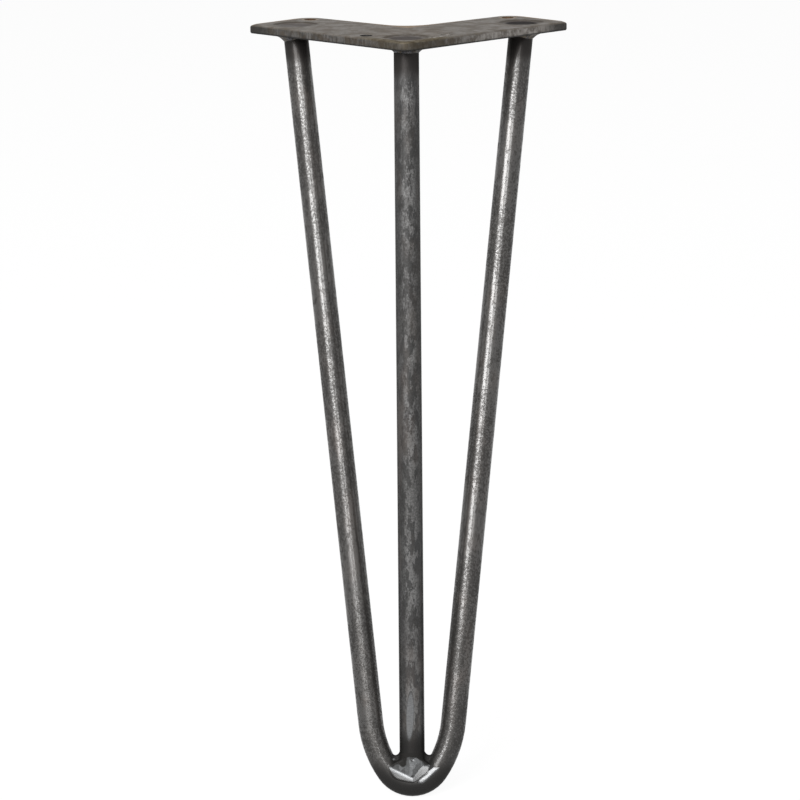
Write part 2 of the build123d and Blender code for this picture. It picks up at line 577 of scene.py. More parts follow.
def cut_off(bm, place, normal):
    """Takes away what lies beyond a plane, and closes the cut."""
    bmesh.ops.bisect_plane(bm, geom=whole(bm), plane_co=place, plane_no=normal, clear_outer=True)
    bmesh.ops.holes_fill(bm, edges=[edge for edge in bm.edges if edge.is_boundary])


def ground_flat(bm):
    bare = bm.verts.layers.float.new("bare")
    for vert in bm.verts:
        along = (vert.co.z - FLAT_MIDDLE) / FLAT_HALF
        if abs(along) > 1:
            continue
        turn = FLAT_TURN_LOW + (FLAT_TURN_HIGH - FLAT_TURN_LOW) * (along + 1) / 2
        out = Vector((sin(turn), -cos(turn), 0))
        proud = vert.co.dot(out) - (rod_radius - FLAT_DEPTH * (1 - along**2))
        if proud > 0:
            vert.co -= out * proud
            vert[bare] = FLAT_BARE * smooth_step(proud, 0, FLAT_SOFT_RIM)


bar = bmesh.new()
bmesh.ops.create_circle(bar, cap_ends=True, segments=BAR_SIDES, radius=rod_radius)
bmesh.ops.translate(bar, verts=bar.verts, vec=(0, 0, BAR_START))
draw_out(bar, (0, 0, (middle_root - bend_middle).length + rod_radius - BAR_START))
for k in range(int(2 * FLAT_HALF / FLAT_SLICE) + 1):
    height = FLAT_MIDDLE - FLAT_HALF + k * FLAT_SLICE
    bmesh.ops.bisect_plane(bar, geom=whole(bar), plane_co=(0, 0, height), plane_no=(0, 0, 1))
ground_flat(bar)
bmesh.ops.transform(bar, matrix=stood(middle_up.cross((1, 0, 0)), middle_up), verts=bar.verts)
cut_off(bar, middle_root, (0, 0, 1))
bmesh.ops.recalc_face_normals(bar, faces=bar.faces)
middle_bar = new_object("middle_bar", bar, middle_scale)
middle_bar.data.set_sharp_from_angle(angle=SHARP_EDGE)
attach(middle_bar, "root")
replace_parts(middle_bar, "middle_rod")
print("middle bar faces", len(middle_bar.data.polygons))

# %% [markdown]
# The plate is cut from hot-rolled sheet by hand. Its arms narrow a little towards their ends, which are cut
# slightly askew, its inner end corners and its notch are well rounded, and its rims are soft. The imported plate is
# a clean solid without these, so the outline is drawn again, filled, drawn down to a slab and bevelled.

# %% Plate: slab
ARM_LENGTH = 110 * MM
ARM_WIDTH = 43.2 * MM
ARM_TAPER = 2.0 * MM
END_SKEW = 1.3 * MM
ROOT_FROM_EDGE = 15 * MM
APEX_RADIUS = 6 * MM
FRONT_RADIUS = 1.05 * MM
REAR_RADIUS = 10 * MM
NOTCH_RADIUS = 15 * MM
ARC_STEPS = 10
SLAB_THICKNESS = 4.4 * MM
RIM_RADIUS = 0.9 * MM
arm_turn = Matrix.Rotation(radians(45), 4, "Z")


def arc(x, y, radius, start, turn):
    """Points of an arc about (x, y), in quarter turns."""
    angles = [(start + turn * k / ARC_STEPS) * pi / 2 for k in range(ARC_STEPS + 1)]
    return [(x + radius * cos(angle), y + radius * sin(angle), 0) for angle in angles]


outer = -ROOT_FROM_EDGE
inner = outer + ARM_WIDTH
tip = outer + ARM_LENGTH
rear_along = tip + END_SKEW - REAR_RADIUS
rear_across = inner - ARM_TAPER - REAR_RADIUS
outline = (
    arc(outer + APEX_RADIUS, outer + APEX_RADIUS, APEX_RADIUS, 2, 1)
    + arc(tip - FRONT_RADIUS, outer + FRONT_RADIUS, FRONT_RADIUS, 3, 1)
    + arc(rear_along, rear_across, REAR_RADIUS, 0, 1)
    + arc(inner + NOTCH_RADIUS, inner + NOTCH_RADIUS, NOTCH_RADIUS, 3, -1)
    + arc(rear_across, rear_along, REAR_RADIUS, 0, 1)
    + arc(outer + FRONT_RADIUS, tip - FRONT_RADIUS, FRONT_RADIUS, 1, 1)
)
slab = bmesh.new()
slab.faces.new([slab.verts.new(point) for point in outline])
bmesh.ops.transform(slab, matrix=arm_turn, verts=slab.verts)
draw_out(slab, (0, 0, -SLAB_THICKNESS))
bmesh.ops.recalc_face_normals(slab, faces=slab.faces)
rims = [edge for edge in slab.edges if abs(edge.verts[0].co.z - edge.verts[1].co.z) < RIM_RADIUS]
bmesh.ops.bevel(
    slab, geom=rims, offset=RIM_RADIUS, offset_type="OFFSET", affect="EDGES", segments=4, profile=0.5, material=-1
)
bmesh.ops.triangulate(slab, faces=slab.faces)
print("slab faces", len(slab.faces))

# %% [markdown]
# The welds below have drawn the plate in, so a shallow dish shows on its top above each rod. The tips droop a
# little, and the rim at the corner is lumpy from the heat. A displacement map would do this too, but the shapes
# are few and known, so the slab is cut into a fine grid by knife planes and the points of its top are let down.

# %% Plate: dishes
SLAB_GRID = 1.25 * MM
DISH_DEPTH = 0.7 * MM
DISH_INNER = 6.5 * MM
DISH_OUTER = 10.8 * MM
TIP_DROP = 0.5 * MM
TIP_RUN = 3 * MM
APEX_FROM_ROOT = 18.7 * MM
LUMP_SIZE = 3.2 * MM
LUMP_DEPTH = 0.65 * MM
LUMP_MORE = 0.2
LUMP_RANGE = (9 * MM, 24 * MM)
LUMP_RIM = 3 * MM

for normal, low, high in (((1, 0, 0), plate_low.x, plate_high.x), ((0, 1, 0), plate_low.y, plate_high.y)):
    for k in range(1, int((high - low) / SLAB_GRID)):
        place = Vector(normal) * (low + k * SLAB_GRID)
        bmesh.ops.bisect_plane(slab, geom=whole(slab), plane_co=place, plane_no=normal)
for vert in slab.verts:
    if vert.co.z > -SLAB_THICKNESS / 2:
        for root in (left_root, middle_root, right_root):
            vert.co.z -= DISH_DEPTH * (1 - smooth_step((vert.co.xy - root.xy).length, DISH_INNER, DISH_OUTER))
        out = abs(vert.co.x)
        vert.co.z -= TIP_DROP * smooth_step(out, plate_high.x - TIP_RUN, plate_high.x)
        lump = max(noise.noise(vert.co / LUMP_SIZE) + LUMP_MORE, 0) * (1 - smooth_step(out, *LUMP_RANGE))
        rim = smooth_step(out - vert.co.y, APEX_FROM_ROOT - LUMP_RIM, APEX_FROM_ROOT)
        vert.co.z -= LUMP_DEPTH * lump * rim
print("slab cut to faces", len(slab.faces))

# %% [markdown]
# Four plain screw holes go through the plate. Bridged loops would suit a flat slab, but this one is dished and
# finely cut, so a Boolean modifier takes four round drills out of it.

# %% Plate: holes
HOLE_RADIUS = 3 * MM
HOLE_SIDES = 48
DRILL_LENGTH = 20 * MM
END_HOLE = Vector((87, 18, 0)) * MM
CORNER_HOLE = Vector((19, -8, 0)) * MM


def modified(piece, kind, **settings):
    """The piece's mesh as a modifier leaves it."""
    modifier = piece.modifiers.new(kind, kind)
    for setting, value in settings.items():
        setattr(modifier, setting, value)
    mesh = bpy.data.meshes.new_from_object(piece.evaluated_get(bpy.context.evaluated_depsgraph_get()))
    piece.modifiers.clear()
    return mesh


def drilled(slab_object, holes):
    """The slab's mesh with round holes cut straight through it."""
    bm = bmesh.new()
    for hole in holes:
        bmesh.ops.create_cone(
            bm, cap_ends=True, segments=HOLE_SIDES, radius1=HOLE_RADIUS, radius2=HOLE_RADIUS,
            depth=DRILL_LENGTH, matrix=Matrix.Translation(hole),
        )
    drills = new_object("drills", bm, slab_object.data.materials[0])
    mesh = modified(slab_object, "BOOLEAN", operation="DIFFERENCE", object=drills)
    bpy.data.objects.remove(drills)
    return mesh


end_holes = [arm_turn @ END_HOLE, arm_turn @ END_HOLE.yxz]
corner_holes = [arm_turn @ CORNER_HOLE, arm_turn @ CORNER_HOLE.yxz]
print("holes at", [hole.xy for hole in end_holes + corner_holes])

# %% [markdown]
# The plate's colours follow its own lines: along and across the arms, up its cut sides, and round the rods' roots.
# These are worked out once, with three noises: broad patches, smaller stains, and the upright marks that shearing
# left on the sides. Distances are taken in plan and mirrored, so that one spot stands for both arms.

# %% Plate finish: places
BROAD_SIZE = 9 * MM
STAIN_SIZE = 4 * MM
SHEAR_SIZE = 1.1 * MM
SHEAR_STRETCH = (1, 1, 0.25)
TOP_RANGE = (-1.1 * MM, -0.2 * MM)
APEX_RANGE = (24 * MM, 8 * MM)


def from_spot(tree, flat, spot):
    """Distance in plan from a spot and from its mirror image."""
    return put(tree, "VectorMath", {0: flat, 1: (spot.x, spot.y, 0)}, operation="DISTANCE").outputs["Value"]


def plate_places(tree, place):
    x, y, z = put(tree, "SeparateXYZ", {0: place}).outputs
    turned = put(tree, "Mapping", {"Vector": place, "Rotation": (0, 0, radians(-45))}).outputs[0]
    along, across, _ = put(tree, "SeparateXYZ", {0: turned}).outputs
    upright = put(tree, "Mapping", {"Vector": place, "Scale": SHEAR_STRETCH}).outputs[0]
    either_side = calc(tree, "ABSOLUTE", x)
    flat = put(tree, "CombineXYZ", {0: either_side, 1: y}).outputs[0]
    root = least(tree, from_spot(tree, flat, middle_root), from_spot(tree, flat, right_root))
    level = plus(tree, z, step(tree, root, DISH_INNER, DISH_OUTER, DISH_DEPTH, 0.0))
    return SimpleNamespace(
        place=place, x=x, y=y, z=z, along=along, across=across, either_side=either_side, flat=flat, root=root,
        top=step(tree, level, *TOP_RANGE),
        apex=step(tree, either_side, *APEX_RANGE, 0.0, 0.6),
        patches=step(tree, blotches(tree, place, BROAD_SIZE, 6, 0.62), 0.4, 0.62),
        stains=step(tree, blotches(tree, place, STAIN_SIZE, 5, 0.65), 0.42, 0.62),
        sheared=step(tree, blotches(tree, upright, SHEAR_SIZE, 5, 0.65), 0.36, 0.66),
    )


print("plate's lines ready")

# %% [markdown]
# The cut sides are streaked and stained. The right arm's side is paler, the corner is olive from the heat, the
# tips darken, and a dark line runs along the bottom.

# %% Plate finish: cut sides
SIDE_DARK = grey(0.039, 0.06)
SIDE_LIGHT = grey(0.103, 0.05)
SIDE_STAIN = (0.052, 0.042, 0.032, 1)
SIDE_STAIN_SHARE = 0.75
PALE_DARK = grey(0.14, 0.08)
PALE_LIGHT = grey(0.21, 0.06)
PALE_RANGE = (12 * MM, 44 * MM)
APEX_OLIVE = (0.046, 0.039, 0.028, 1)
TIP_GREY = grey(0.03, 0.04)
TIP_RANGE = (63 * MM, 74 * MM)
LINE_GREY = grey(0.022)
LINE_RANGE = (1.2 * MM - SLAB_THICKNESS, 0.5 * MM - SLAB_THICKNESS)


def cut_sides(tree, at):
    side = mix(tree, at.sheared, SIDE_DARK, SIDE_LIGHT)
    side = mix(tree, times(tree, at.stains, SIDE_STAIN_SHARE), side, SIDE_STAIN)
    pale = times(tree, step(tree, at.x, *PALE_RANGE), step(tree, at.stains, 0, 1, 0.95, 0.3))
    side = mix(tree, pale, side, mix(tree, at.sheared, PALE_DARK, PALE_LIGHT))
    side = mix(tree, at.apex, side, APEX_OLIVE)
    side = mix(tree, step(tree, at.either_side, *TIP_RANGE, 0.0, 0.85), side, TIP_GREY)
    return mix(tree, step(tree, at.z, *LINE_RANGE, 0.0, 0.8), side, LINE_GREY)


print("sides reflect", SIDE_DARK[1], "to", SIDE_LIGHT[1])

# %% [markdown]
# Above each weld, heat has left a bluish middle, a sooty floor and a dark ring. The soot is strongest on the right
# and weakest on the left. On the dish's far wall painted shade darkens the ring further.

# %% Plate finish: heat marks
DISH_SHADE_SHIFT = Vector((0, -7.0, 0)) * MM
FLOOR_MARK_RANGE = (9.3 * MM, 6.3 * MM)
ROD_GAP_FROM = 25 * MM
ROD_GAP_TO = 35 * MM
SOOT_LEFT = 0.3
SOOT_MIDDLE = 0.6
SOOT_RIGHT_MORE = 0.35
RING_OUTSIDE = (12.5 * MM, 10.5 * MM)
RING_INSIDE = (7.5 * MM, 9.5 * MM)
RING_NEAR = 0.15
RING_WITH_FAR_SHADE = 0.45
FAR_WALL_SHADE_RANGE = (11.4 * MM, 10.2 * MM)
FAR_SIDE_SHADE_RANGE = (9.5 * MM, 12.5 * MM)


def heat_marks(tree, at):
    """Shares of the sooty floor and of the dark ring, with painted shade on the far wall."""
    root, x = at.root, at.x
    left = step(tree, x, -ROD_GAP_TO, -ROD_GAP_FROM, SOOT_LEFT, SOOT_MIDDLE)
    sooty = plus(tree, step(tree, x, ROD_GAP_FROM, ROD_GAP_TO, 0.0, SOOT_RIGHT_MORE), left)
    floor_mark = times(tree, step(tree, root, *FLOOR_MARK_RANGE), sooty)
    # The ring is darker on each dish's far wall: painted shade, away from spots moved towards the front.
    near = [from_spot(tree, at.flat, spot + DISH_SHADE_SHIFT) for spot in (middle_root, right_root)]
    beyond = step(tree, least(tree, *near), *FAR_SIDE_SHADE_RANGE)
    far_wall_shade = times(tree, step(tree, root, *FAR_WALL_SHADE_RANGE), beyond)
    ring = times(tree, step(tree, root, *RING_OUTSIDE), step(tree, root, *RING_INSIDE))
    return floor_mark, times(tree, ring, step(tree, far_wall_shade, 0, 1, RING_NEAR, RING_WITH_FAR_SHADE))


print("soot on the dishes from", SOOT_LEFT)

# %% [markdown]
# The top is paler and browner than the rods, in soft patches. Its rear and end rims are pale brown, rust with a
# painted highlight along the edge, and the end holes have begun to rust. Its corner is olive, and a bright burr with
# a painted glint lies in front of the right corner hole.

# %% Plate finish: top
FACE_LIGHT = grey(0.126, 0.085)
FACE_DARK = grey(0.08, 0.12)
FACE_STAIN = (0.085, 0.07, 0.053, 1)
FACE_STAIN_SHARE = 0.55
DISH_BLUE = (0.1, 0.093, 0.096, 1)
DISH_BLUE_RANGE = (9.5 * MM, 7.0 * MM)
DISH_SOOT = (0.04, 0.037, 0.036, 1)
RING_SOOT_AND_SHADE = (0.03, 0.026, 0.022, 1)
RIM_RUST_AND_HIGHLIGHT = (0.2, 0.145, 0.1, 1)
RIM_RUST_AND_HIGHLIGHT_SHARE = 0.7
REAR_RUST_AND_HIGHLIGHT_RANGE = (inner - 4.5 * MM, inner - 0.8 * MM)
END_RUST_AND_HIGHLIGHT_RANGE = (tip - 3 * MM, tip - 0.6 * MM)
NOSE_LIGHT = (0.088, 0.074, 0.05, 1)
NOSE_DARK = (0.05, 0.04, 0.026, 1)
NOSE_RANGE = (APEX_FROM_ROOT - 4.5 * MM, APEX_FROM_ROOT - 1.5 * MM)
NOSE_SIDES = (26 * MM, 14 * MM)
BURR = Vector((9, -10.2, 0)) * MM
BURR_LENGTH = (6 * MM, 4.5 * MM)
BURR_WIDTH = (0.6 * MM, 0.3 * MM)
BURR_BREAKS = 1.6 * MM
BURR_GLINT = grey(0.36, 0.02)
HOLE_RUST = (0.2, 0.15, 0.1, 1)
HOLE_RUST_RANGE = (5.2 * MM, 3.4 * MM)


# Rust with a painted highlight along the rear and end rims.
def rims_rust_and_highlight(tree, at):
    rear = step(tree, least(tree, at.along, at.across), *REAR_RUST_AND_HIGHLIGHT_RANGE)
    ends = step(tree, most(tree, at.along, at.across), *END_RUST_AND_HIGHLIGHT_RANGE)
    return times(tree, most(tree, rear, ends), RIM_RUST_AND_HIGHLIGHT_SHARE)


def nose_share(tree, at):
    """The strip along the rim at the plate's corner."""
    forward = minus(tree, at.either_side, at.y)
    strip = step(tree, forward, *NOSE_RANGE)
    return times(tree, strip, step(tree, at.either_side, *NOSE_SIDES, 0.0, 0.9))


# A bright burr, with a painted glint on it.
def burr_and_glint_share(tree, at):
    off_along = calc(tree, "ABSOLUTE", minus(tree, at.along, BURR.x))
    off_across = calc(tree, "ABSOLUTE", minus(tree, at.across, BURR.y))
    strip = times(tree, step(tree, off_along, *BURR_LENGTH), step(tree, off_across, *BURR_WIDTH))
    return times(tree, strip, step(tree, blotches(tree, at.place, BURR_BREAKS, 3), 0.42, 0.58, 0.15, 1.0))


def top_face(tree, at, floor_mark, ring_soot_and_shade):
    face = mix(tree, at.patches, FACE_LIGHT, FACE_DARK)
    face = mix(tree, times(tree, at.stains, FACE_STAIN_SHARE), face, FACE_STAIN)
    face = mix(tree, step(tree, at.root, *DISH_BLUE_RANGE, 0.0, 0.4), face, DISH_BLUE)
    face = mix(tree, floor_mark, face, DISH_SOOT)
    face = mix(tree, ring_soot_and_shade, face, RING_SOOT_AND_SHADE)
    face = mix(tree, rims_rust_and_highlight(tree, at), face, RIM_RUST_AND_HIGHLIGHT)
    face = mix(tree, nose_share(tree, at), face, mix(tree, at.stains, NOSE_LIGHT, NOSE_DARK))
    face = mix(tree, burr_and_glint_share(tree, at), face, BURR_GLINT)
    end_hole = from_spot(tree, at.flat, end_holes[0])
    return mix(tree, step(tree, end_hole, *HOLE_RUST_RANGE, 0.0, 0.7), face, HOLE_RUST)


print("top reflects", FACE_DARK[1], "to", FACE_LIGHT[1])

# %% [markdown]
# Top and sides are joined by height, and the walls of the holes get their own colours: rust in the end holes,
# painted shade in the left corner hole and painted light on the wall of the right one. In the heat marks the grazing
# sheen is taken down, because soot doesn't shine at a low angle.

# %% Plate finish: together
BORE_EDGE = 3.05 * MM
END_BORE = (0.08, 0.046, 0.027, 1)
LEFT_BORE_SHADE = grey(0.03)
RIGHT_BORE_LIGHT = grey(0.15, 0.08)
PLATE_SMOOTH = 0.36
PLATE_ROUGH = 0.5
APEX_ROUGHNESS = 0.3
MARK_EDGE_TINT = grey(0.1)
PLATE_RELIEF = 0.02


def plate_scale():
    material, tree, metal, place = new_steel("plate_scale")
    at = plate_places(tree, place)
    floor_mark, ring_soot_and_shade = heat_marks(tree, at)
    colour = mix(tree, at.top, cut_sides(tree, at), top_face(tree, at, floor_mark, ring_soot_and_shade))
    end_hole, corner_hole = [from_spot(tree, at.flat, holes[0]) for holes in (end_holes, corner_holes)]
    colour = mix(tree, step(tree, end_hole, BORE_EDGE, HOLE_RADIUS), colour, END_BORE)
    # The corner holes' walls: painted shade in the left one, painted light in the right one.
    corner_bore_light_and_shade = mix(tree, step(tree, at.x, -MM, MM), LEFT_BORE_SHADE, RIGHT_BORE_LIGHT)
    colour = mix(tree, step(tree, corner_hole, BORE_EDGE, HOLE_RADIUS), colour, corner_bore_light_and_shade)
    dull = step(tree, at.patches, 0, 1, PLATE_SMOOTH, PLATE_ROUGH)
    dull = plus(tree, dull, times(tree, at.apex, APEX_ROUGHNESS))
    mark = times(tree, most(tree, floor_mark, ring_soot_and_shade), at.top)
    edge_tint = mix(tree, mark, EDGE_TINT, MARK_EDGE_TINT)
    feed(tree, metal, {"Base Color": colour, "Roughness": dull, "Specular Tint": edge_tint})
    relief = [times(tree, height, PLATE_RELIEF) for height in (at.patches, at.sheared)]
    emboss(tree, metal, plus(tree, *relief))
    return material


screw_plate = new_object("screw_plate", slab, plate_scale())
screw_plate.data = drilled(screw_plate, end_holes + corner_holes)
screw_plate.data.set_sharp_from_angle(angle=SHARP_EDGE)
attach(screw_plate, "root")
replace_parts(screw_plate, "mounting_plate")
print("screw plate faces", len(screw_plate.data.polygons))

# %% [markdown]
# Weld metal cools under a dark skin, straw brown in one place and blue in the next, with spots of slag. One noise
# chooses the tint, a second darkens patches of it, and a third leaves the spots, which have no gloss.

# %% Weld finish
TINT_SIZE = 5 * MM
WELD_PATCH_SIZE = 2 * MM
SLAG_SIZE = 0.9 * MM
WELD_GRAIN_SIZE = 1.2 * MM
WELD_STRAW = (0.075, 0.06, 0.042, 1)
WELD_BLUE = (0.05, 0.052, 0.062, 1)
WELD_DARK = grey(0.034, 0.06)
WELD_DARK_SHARE = 0.7
SLAG = (0.03, 0.025, 0.02, 1)
WELD_ROUGHNESS = (0.3, 0.5)
WELD_GLOSS = 0.5
WELD_GLOSS_ROUGHNESS = 0.2
WELD_RELIEF = 0.06


def weld_scale():
    material, tree, metal, place = new_steel("weld_scale")
    tint = step(tree, blotches(tree, place, TINT_SIZE, 2), 0.4, 0.65)
    patches = step(tree, blotches(tree, place, WELD_PATCH_SIZE, 5, 0.62), 0.42, 0.6)
    slag = step(tree, blotches(tree, place, SLAG_SIZE, 3), 0.6, 0.68)
    colour = mix(tree, tint, WELD_STRAW, WELD_BLUE)
    colour = mix(tree, times(tree, patches, WELD_DARK_SHARE), colour, WELD_DARK)
    colour = mix(tree, slag, colour, SLAG)
    gloss = step(tree, slag, 0, 1, WELD_GLOSS, 0.0)
    feed(tree, metal, {"Base Color": colour, "Roughness": step(tree, patches, 0, 1, *WELD_ROUGHNESS)})
    feed(tree, metal, {"Coat Weight": gloss, "Coat Roughness": WELD_GLOSS_ROUGHNESS})
    emboss(tree, metal, times(tree, blotches(tree, place, WELD_GRAIN_SIZE, 4), WELD_RELIEF))
    return material


weld_skin = weld_scale()
print("weld finish", weld_skin.name)

# %% [markdown]
# Each rod is held to the plate by a fillet weld, a bead run once round it in the corner between the two. Its face
# is a little hollow and rippled, because the metal froze in small waves. A torus would give a round bead, so the
# section is drawn instead, with its slope cut up and pulled hollow. It is spun round the rod, and its points then
# lean with the rod, swell on one side and ripple.

# %% Beads under the plate
BEAD_REACH = 4.6 * MM
BEAD_RUN = 3.2 * MM
BEAD_INSIDE = rod_radius - 0.5 * MM
BEAD_HOLLOW = 0.12
BEAD_CUTS = 11
BEAD_TURNS = 240
BEAD_RIPPLES = 31
BEAD_RIPPLE_DEPTH = 0.1 * MM
BEAD_RIPPLE_GAIN = 4
BEAD_RIPPLE_SLANT = 0.5 / MM
BEAD_UNEVEN = 0.12
BEAD_LUMPS = 0.3 / MM
MERGE_DISTANCE = 0.001 * MM


def bead_section(bm):
    """Closed section beside the rod, with a hollow slope."""
    corners = ((BEAD_INSIDE, -BEAD_RUN), (BEAD_INSIDE, 0), (rod_radius + BEAD_REACH, 0))
    low, top, out = [bm.verts.new((x, 0, z)) for x, z in corners]
    bm.edges.new((low, top))
    bm.edges.new((top, out))
    slope = bm.edges.new((out, low))
    corner, middle, half = Vector(top.co), (out.co + low.co) / 2, (out.co - low.co).length / 2
    cut = bmesh.ops.subdivide_edges(bm, edges=[slope], cuts=BEAD_CUTS)
    for vert in points_of(cut["geom_inner"]):
        away = (vert.co - middle).length / half
        vert.co += (corner - vert.co) * BEAD_HOLLOW * 2 * (1 - away**2)


def ripple(vert, lean, thick_side, thick):
    """Swells a bead's point on the thick side, ripples it and moves it along the rod's lean."""
    angle = atan2(vert.co.y, vert.co.x)
    reach, drop = vert.co.xy.length - BEAD_INSIDE, -vert.co.z
    side = 1 + thick * cos(angle - thick_side) + BEAD_UNEVEN * noise.noise(vert.co * BEAD_LUMPS)
    free = BEAD_RIPPLE_GAIN * min(reach / BEAD_REACH, 1) * min(drop / BEAD_RUN, 1)
    wave = BEAD_RIPPLE_DEPTH * free * sin(angle * BEAD_RIPPLES + BEAD_RIPPLE_SLANT * drop)
    out = BEAD_INSIDE + reach * side + wave
    drop = drop * side + wave
    vert.co = (out * cos(angle) - lean[0] * drop, out * sin(angle) - lean[1] * drop, -drop)


def plate_bead(name, root, lean, thick_side, thick):
    bm = bmesh.new()
    bead_section(bm)
    bmesh.ops.spin(
        bm, geom=bm.verts[:] + bm.edges[:], cent=(0, 0, 0), axis=(0, 0, 1), angle=2 * pi,
        steps=BEAD_TURNS, use_merge=True,
    )
    bmesh.ops.remove_doubles(bm, verts=bm.verts, dist=MERGE_DISTANCE)
    bmesh.ops.recalc_face_normals(bm, faces=bm.faces)
    for vert in bm.verts:
        ripple(vert, lean, thick_side, thick)
    bmesh.ops.translate(bm, verts=bm.verts, vec=(root.x, root.y, -SLAB_THICKNESS))
    piece = new_object(name, bm, weld_skin)
    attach(piece, "root")
    print(name, "faces", len(piece.data.polygons))
    return piece


left_lean = (-side_lean[0], side_lean[1])
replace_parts(plate_bead("left_bead", left_root, left_lean, pi, 0.32), "left_plate_weld")
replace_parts(plate_bead("right_bead", right_root, side_lean, 0.0, 0.32), "right_plate_weld")
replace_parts(plate_bead("middle_bead", middle_root, middle_lean, 0.0, 0.08), "middle_plate_weld")

# %% [markdown]
# At the foot the middle rod stands in the bend, and one lump of weld joins them, with a round crotch on each side.
# A smooth blend of round forms is hard to draw by hand, so the parts are fused by a voxel remesh and smoothed:
# copies of the two rods, a thin web with the crotches in its top edge, and a thicker body of weld metal. Web and
# body are outlines of a few points, in millimetres across and up from the middle of the bend.

# %% Foot weld: fused lump
JOINT_TOP = 21 * MM
JOINT_VOXEL = 0.28 * MM
BLEND_ROUNDS = 32
BLEND_FACTOR = 0.5
CROTCH_X = 8.2 * MM
CROTCH_Z = 15.6 * MM
CROTCH_RADIUS = 2.2 * MM
WEB_HALF = 3.2 * MM
BODY_HALF = 6.3 * MM
BODY_TOP = ((-11, 8.4), (-9, 9.8), (-6, 11.3), (-3, 12.2), (0, 12.5), (3, 12.1), (6, 10.9), (8.6, 9))
BODY_LOW = ((7.2, 5), (1, 1), (-8, 3))
WEB_CORNERS = ((14, 15.6), (12, 8), (0, 4), (-12, 8), (-14, 15.6))


def thick_outline(points, half):
    """A mesh of an outline in the bend's plane, drawn out to both sides."""
    bm = bmesh.new()
    bm.faces.new([bm.verts.new((x, -half, z)) for x, z in points])
    draw_out(bm, (0, 2 * half, 0))
    bmesh.ops.recalc_face_normals(bm, faces=bm.faces)
    bmesh.ops.transform(bm, matrix=stood(-bend_front, bend_up), verts=bm.verts)
    return bm


def cut_rod(name):
    """A copy of a rod, cut off above the joint."""
    bm = bmesh.new()
    bm.from_mesh(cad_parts[name].data)
    bmesh.ops.remove_doubles(bm, verts=bm.verts, dist=MERGE_DISTANCE)
    cut_off(bm, bend_middle + middle_up * JOINT_TOP, middle_up)
    return bm


def crotch(x):
    """The lower half of a circle, from left to right."""
    return [(x + point[0], CROTCH_Z + point[1]) for point in arc(0, 0, CROTCH_RADIUS, 2, 2)]


def fused(parts):
    bm = bmesh.new()
    for part in parts:
        mesh = bpy.data.meshes.new("part")
        part.to_mesh(mesh)
        part.free()
        bm.from_mesh(mesh)
        bpy.data.meshes.remove(mesh)
    lump = new_object("joint_lump", bm, bent_scale)
    mesh = modified(lump, "REMESH", mode="VOXEL", voxel_size=JOINT_VOXEL)
    bpy.data.objects.remove(lump)
    bm = bmesh.new()
    bm.from_mesh(mesh)
    bpy.data.meshes.remove(mesh)
    return bm


web = crotch(-CROTCH_X) + crotch(CROTCH_X) + [(x * MM, z * MM) for x, z in WEB_CORNERS]
body = [(x * MM, z * MM) for x, z in BODY_TOP + BODY_LOW]
joint = fused(
    [cut_rod("hairpin_rod"), cut_rod("middle_rod"), thick_outline(web, WEB_HALF), thick_outline(body, BODY_HALF)]
)
for _ in range(BLEND_ROUNDS):
    bmesh.ops.smooth_vert(
        joint, verts=joint.verts, factor=BLEND_FACTOR, use_axis_x=True, use_axis_y=True, use_axis_z=True
    )
print("joint lump faces", len(joint.faces))

# %% [markdown]
# A grinder has dished the front of the lump: a lower wall that runs round with the bend and catches the light, and
# a darker, uneven face above it, the heart, with a valley shaped like a V between them. A groove ends the wall on
# the right. Such a surface is one height over the bend's plane, so a function of two numbers gives it more exactly
# than cutting and bevelling would.

# %% Foot weld: ground dish
BEND_RADIUS = 13.5 * MM
WALL_TILT = radians(8)
WALL_PROUD = 0.06 * MM
VALLEY_X = 0.2 * MM
VALLEY_LOW = 2.9 * MM
VALLEY_HIGH = 8.6 * MM
VALLEY_LEFT_RISE = 0.487
VALLEY_RIGHT_RISE = 1.31
VALLEY_SOFT = 0.5 * MM
WALL_END_X = 0.8 * MM
WALL_END_RISE = 1.27
WALL_END_MOST = 8.5 * MM
GROOVE_WIDTH = 0.8 * MM
GROOVE_DEPTH = 0.25 * MM
HEART_RISE = 0.21
HEART_WAVES = 0.16 * MM
HEART_WAVE_SIZE = 2.8 * MM
HEART_WAVE_FADE = 1.5 * MM
HEART_CENTRE = Vector((-1.6, 6.0)) * MM
HEART_HALF = Vector((7.6, 6.7)) * MM
HEART_EDGE = (0.95, 1.3)
HEART_EDGE_ABOVE = (0.3 * MM, MM)
RELEASE = 2 * MM


def valley_height(x):
    away = x - VALLEY_X
    return min(VALLEY_LOW + max(-away * VALLEY_LEFT_RISE, away * VALLEY_RIGHT_RISE), VALLEY_HIGH)


def soft_least(a, b, width):
    """The smaller of two numbers, with a round changeover."""
    return min(a, b) - max(width - abs(a - b), 0) ** 2 / (4 * width)


